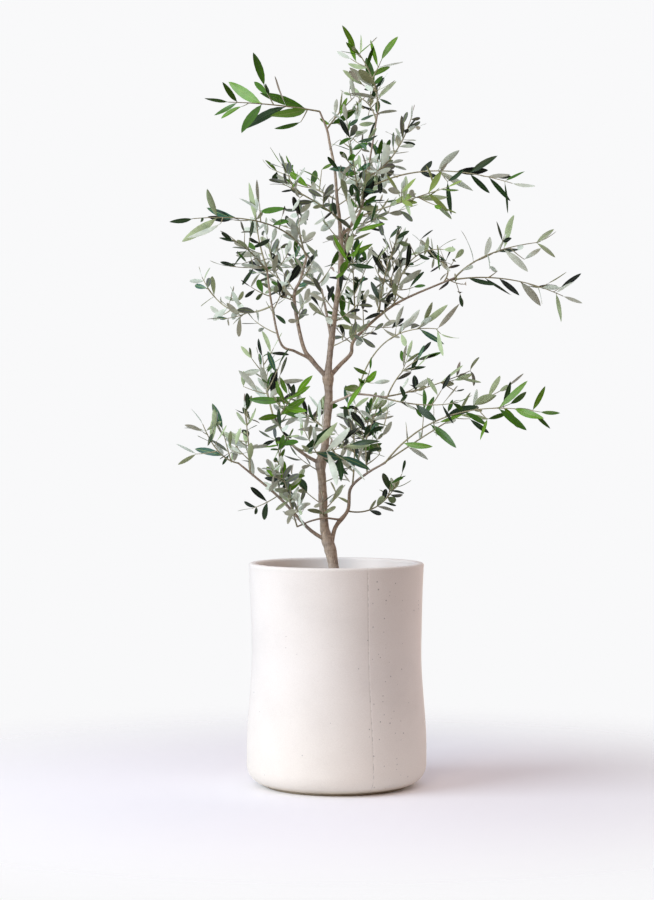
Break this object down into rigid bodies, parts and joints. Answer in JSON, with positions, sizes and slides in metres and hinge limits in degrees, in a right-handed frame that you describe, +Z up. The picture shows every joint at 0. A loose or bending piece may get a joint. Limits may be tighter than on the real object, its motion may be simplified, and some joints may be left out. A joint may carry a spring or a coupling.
{
  "type": "potted olive tree",
  "caption": "Young olive tree with a slender leaning trunk and an open crown of narrow grey-green leaves, standing in a tall waisted off-white planter.",
  "frame": {"origin": "middle of the pot's flat underside", "axes": "+Z up; front towards -Y, so that +X is to the right in the picture"},
  "size_m": [0.6829, 0.4553, 1.268],
  "materials": {
    "cement": "matt off-white fibre cement, cast smooth with fine pits",
    "compost": "dark moist potting mix with bits of bark",
    "bark": "grey-brown bark with shallow furrows and small knots",
    "foliage": "leathery narrow leaves, green above and silvery below"
  },
  "bodies": {
    "root": {"pot": "cement", "soil": "compost", "trunk": "bark", "low_left_bough": "bark", "low_right_bough": "bark", "low_front_bough": "bark", "middle_left_bough": "bark", "middle_right_bough": "bark", "fork_left_bough": "bark", "far_left_bough": "bark", "fork_right_bough": "bark", "leader_bough": "bark", "low_back_bough": "bark", "middle_back_bough": "bark", "high_back_bough": "bark", "cantilever_spray": "foliage", "top_twig_spray": "foliage", "upper_left_spray": "foliage", "upper_left_low_spray": "foliage", "crown_tip_spray": "foliage", "crown_back_spray": "foliage", "grey_twig_spray": "foliage", "upper_right_long_spray": "foliage", "upper_right_low_spray": "foliage", "upper_inner_spray": "foliage", "long_left_spray": "foliage", "centre_left_spray": "foliage", "centre_left_back_spray": "foliage", "far_left_upper_spray": "foliage", "far_left_outer_spray": "foliage", "pale_left_spray": "foliage", "centre_upright_spray": "foliage", "centre_green_spray": "foliage", "right_upright_spray": "foliage", "right_outer_spray": "foliage", "right_back_spray": "foliage", "right_fork_upper_spray": "foliage", "right_fork_lower_spray": "foliage", "right_fork_near_spray": "foliage", "slender_right_spray": "foliage", "right_inner_spray": "foliage", "right_long_spray": "foliage", "right_dark_spray": "foliage", "centre_bright_spray": "foliage", "centre_dark_spray": "foliage", "low_right_long_spray": "foliage", "low_right_upper_spray": "foliage", "low_right_back_spray": "foliage", "low_right_small_spray": "foliage", "low_left_tip_spray": "foliage", "low_left_upright_spray": "foliage", "low_left_inner_spray": "foliage", "low_front_spray": "foliage", "left_inner_spray": "foliage", "left_bright_spray": "foliage", "front_spray": "foliage", "low_back_left_spray": "foliage", "low_back_right_spray": "foliage", "middle_back_spray": "foliage", "high_back_spray": "foliage"}
  },
  "joints": []
}
